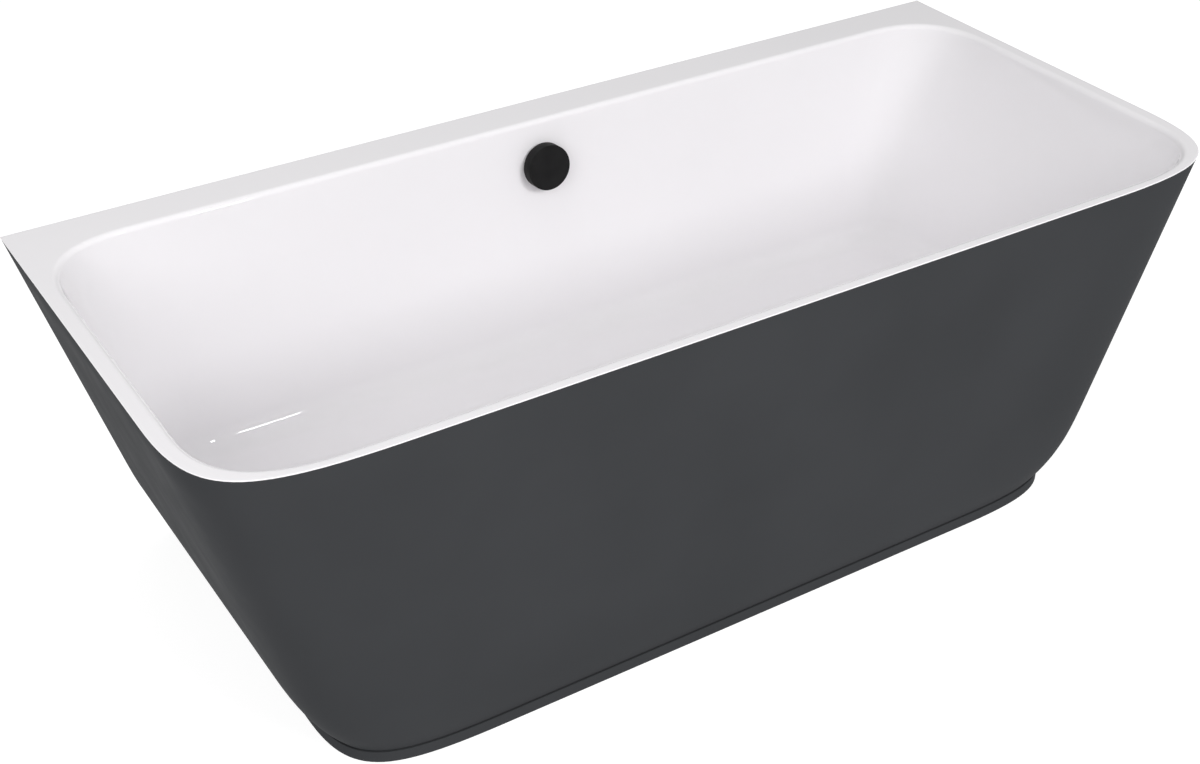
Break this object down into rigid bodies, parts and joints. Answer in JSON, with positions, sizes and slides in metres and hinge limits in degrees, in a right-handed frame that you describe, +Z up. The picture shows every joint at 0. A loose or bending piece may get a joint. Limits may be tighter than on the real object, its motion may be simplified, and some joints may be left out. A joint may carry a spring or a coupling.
{
  "type": "freestanding bathtub",
  "caption": "Back-to-wall freestanding bathtub: flat-rimmed white basin in a tapered dark casing, with a turn knob on the rear wall that works a pop-up plug.",
  "frame": {"origin": "centre of the bounding box's underside, on the floor", "axes": "+X along the tub's length, +Y towards the wall it stands against, +Z up"},
  "size_m": [1.8, 0.8, 0.633],
  "materials": {
    "white_acrylic": "glossy white sanitary acrylic",
    "anthracite_skin": "fine matt anthracite",
    "black_knob": "matt black",
    "board": "raw chipboard, sealed",
    "zinc_steel": "zinc plated",
    "chrome": "polished chrome plating",
    "brass": "machined",
    "rubber": "moulded",
    "pale_plastic": "moulded",
    "dark_plastic": "moulded"
  },
  "bodies": {
    "tub": {"tub_shell": "white_acrylic", "apron": "anthracite_skin", "plinth": "anthracite_skin", "base_board": "board", "rail_left": "zinc_steel", "rail_right": "zinc_steel", "rail_screw_left_1": "zinc_steel", "rail_screw_left_2": "zinc_steel", "rail_screw_right_1": "zinc_steel", "rail_screw_right_2": "zinc_steel", "foot_left_1_rail_nut": "zinc_steel", "foot_left_1_lock_nut": "zinc_steel", "foot_left_2_rail_nut": "zinc_steel", "foot_left_2_lock_nut": "zinc_steel", "foot_right_1_rail_nut": "zinc_steel", "foot_right_1_lock_nut": "zinc_steel", "foot_right_2_rail_nut": "zinc_steel", "foot_right_2_lock_nut": "zinc_steel", "wall_bracket_left": "zinc_steel", "wall_bracket_right": "zinc_steel", "rim_pad_left": "rubber", "rim_pad_right": "rubber", "overflow_collar": "dark_plastic", "overflow_seal": "rubber", "overflow_body": "pale_plastic", "overflow_cover": "pale_plastic", "cable_gland_upper": "brass", "overflow_hose": "pale_plastic", "cable_sheath": "dark_plastic", "waste_cover": "white_acrylic", "waste_flange": "chrome", "waste_seal": "rubber", "waste_body": "pale_plastic", "lever_pin": "zinc_steel", "cable_gland_lower": "brass", "trap_cup": "pale_plastic", "trap_nut": "pale_plastic", "outlet_pipe": "pale_plastic"},
    "knob": {"overflow_knob": "black_knob", "overflow_spindle": "brass", "overflow_crank": "dark_plastic"},
    "plug": {"waste_plug": "chrome", "waste_plug_seal": "rubber"},
    "lever": {"lift_lever": "dark_plastic"},
    "foot_left_1": {"foot_left_1_stud": "zinc_steel", "foot_left_1_pad": "rubber"},
    "foot_left_2": {"foot_left_2_stud": "zinc_steel", "foot_left_2_pad": "rubber"},
    "foot_right_1": {"foot_right_1_stud": "zinc_steel", "foot_right_1_pad": "rubber"},
    "foot_right_2": {"foot_right_2_stud": "zinc_steel", "foot_right_2_pad": "rubber"}
  },
  "joints": [
    {"name": "knob_turn", "type": "hinge", "parent": "tub", "child": "knob", "pos_m": [0, 0.31459, 0.553], "axis": [0, -0.9945, 0.1045], "range_deg": [0, 90]},
    {"name": "plug_lift", "type": "slide", "parent": "tub", "child": "plug", "axis": [0, 0, 1], "range_m": [0, 0.01]},
    {"name": "lever_turn", "type": "hinge", "parent": "tub", "child": "lever", "pos_m": [0.022, -0.018, 0.16], "axis": [0, 1, 0], "range_deg": [0, 27]},
    {"name": "foot_left_1_adjust", "type": "slide", "parent": "tub", "child": "foot_left_1", "axis": [0, 0, 1], "range_m": [-0.014, 0.01]},
    {"name": "foot_left_2_adjust", "type": "slide", "parent": "tub", "child": "foot_left_2", "axis": [0, 0, 1], "range_m": [-0.014, 0.01]},
    {"name": "foot_right_1_adjust", "type": "slide", "parent": "tub", "child": "foot_right_1", "axis": [0, 0, 1], "range_m": [-0.014, 0.01]},
    {"name": "foot_right_2_adjust", "type": "slide", "parent": "tub", "child": "foot_right_2", "axis": [0, 0, 1], "range_m": [-0.014, 0.01]}
  ],
  "couplings": [
    {"joint": "plug_lift", "follows": "knob_turn", "m_per_rad": 0.006366},
    {"joint": "lever_turn", "follows": "knob_turn", "ratio": 0.2999}
  ]
}
